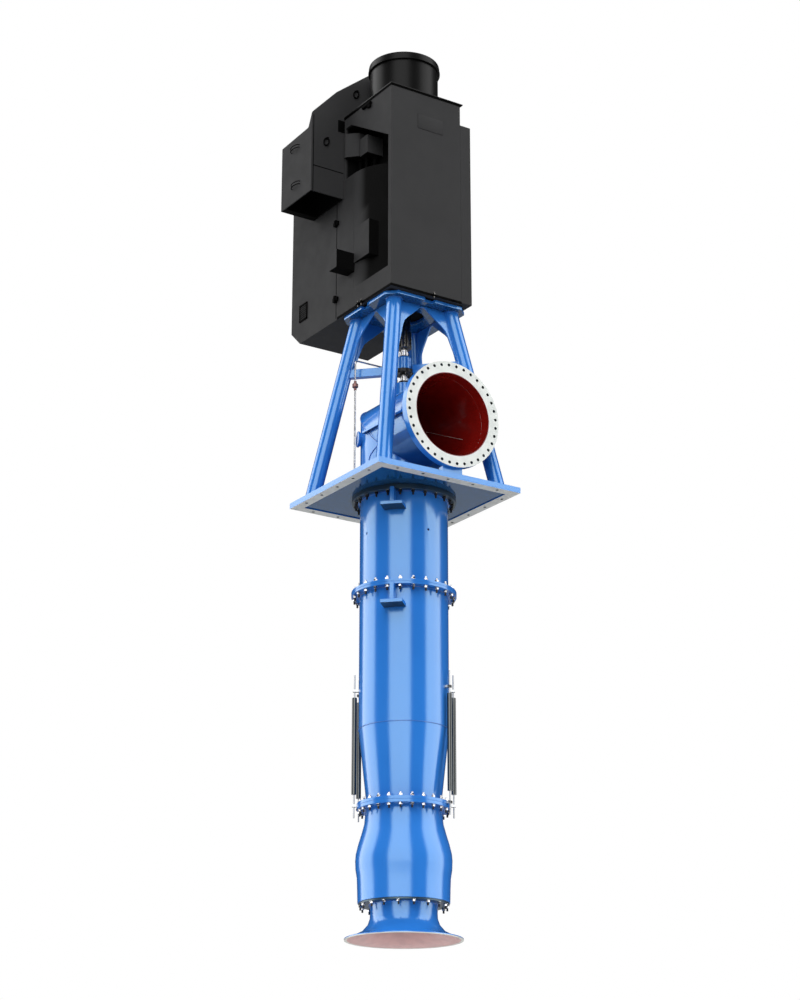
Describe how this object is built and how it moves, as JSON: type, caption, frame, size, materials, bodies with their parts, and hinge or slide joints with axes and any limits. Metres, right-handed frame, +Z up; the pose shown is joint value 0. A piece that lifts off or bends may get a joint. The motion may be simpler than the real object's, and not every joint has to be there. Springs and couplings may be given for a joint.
{
  "type": "vertical circulating water pump",
  "caption": "Vertical circulating water pump: motor on a splayed stand, flanged discharge elbow on a square base plate, and a long column below ending in a bowl and suction bell.",
  "frame": {"origin": "on the underside of the sole frame, half-way along its discharge side, inboard of the anchor holes", "axes": "+Z up along the shaft, -Y towards the discharge, +X to the right seen from the discharge"},
  "size_m": [2.151, 2.837, 11.44],
  "materials": {
    "blue_paint": "glossy blue enamel",
    "charcoal_casing": "satin charcoal paint",
    "machined_seat": "off-white primed seat",
    "zinc": "dull zinc",
    "shaft_steel": "turned steel",
    "dark_steel": "dark steel",
    "bronze": "dull bronze",
    "bright_bolt": "bright zinc-plated bolts",
    "red_lining": "deep red lining"
  },
  "bodies": {
    "pump": {"access_cover": "blue_paint", "air_hood_left": "charcoal_casing", "air_hood_right": "charcoal_casing", "anode_rod_1": "zinc", "anode_rod_2": "zinc", "anode_rod_3": "zinc", "anode_rod_4": "zinc", "base_plate": "blue_paint", "bearing_housing": "charcoal_casing", "diffuser_bowl": "blue_paint", "diffuser_vanes": "blue_paint", "discharge_elbow": "blue_paint", "discharge_flange": "blue_paint", "discharge_support": "blue_paint", "housing_cap": "charcoal_casing", "junction_box_lower": "charcoal_casing", "junction_box_middle": "charcoal_casing", "junction_box_upper": "charcoal_casing", "lower_column": "blue_paint", "lower_lug_far": "blue_paint", "lower_lug_near": "blue_paint", "motor_body": "charcoal_casing", "motor_roof": "charcoal_casing", "packing_gland": "dark_steel", "seal_flange": "dark_steel", "seal_housing": "blue_paint", "seal_pedestal": "blue_paint", "seal_water_pipe": "shaft_steel", "seal_water_valve": "bronze", "side_panel": "charcoal_casing", "sole_frame": "machined_seat", "stand_arch_front": "blue_paint", "stand_arch_left": "blue_paint", "stand_arch_rear": "blue_paint", "stand_arch_right": "blue_paint", "stand_leg_far": "blue_paint", "stand_leg_left": "blue_paint", "stand_leg_near": "blue_paint", "stand_leg_right": "blue_paint", "stand_top_plate": "blue_paint", "steady_beam_left": "blue_paint", "steady_beam_right": "blue_paint", "suction_bell": "blue_paint", "terminal_box": "charcoal_casing", "top_duct": "charcoal_casing", "upper_column": "blue_paint", "upper_lug_far": "blue_paint", "upper_lug_near": "blue_paint"},
    "rotor": {"line_shaft": "shaft_steel", "impeller": "bronze", "shaft_collar": "shaft_steel", "pump_coupling": "dark_steel", "motor_coupling": "dark_steel"}
  },
  "joints": [
    {"name": "rotor_spin", "type": "hinge", "parent": "pump", "child": "rotor", "pos_m": [0, 0.915, 0], "axis": [0, 0, 1], "continuous": true}
  ]
}
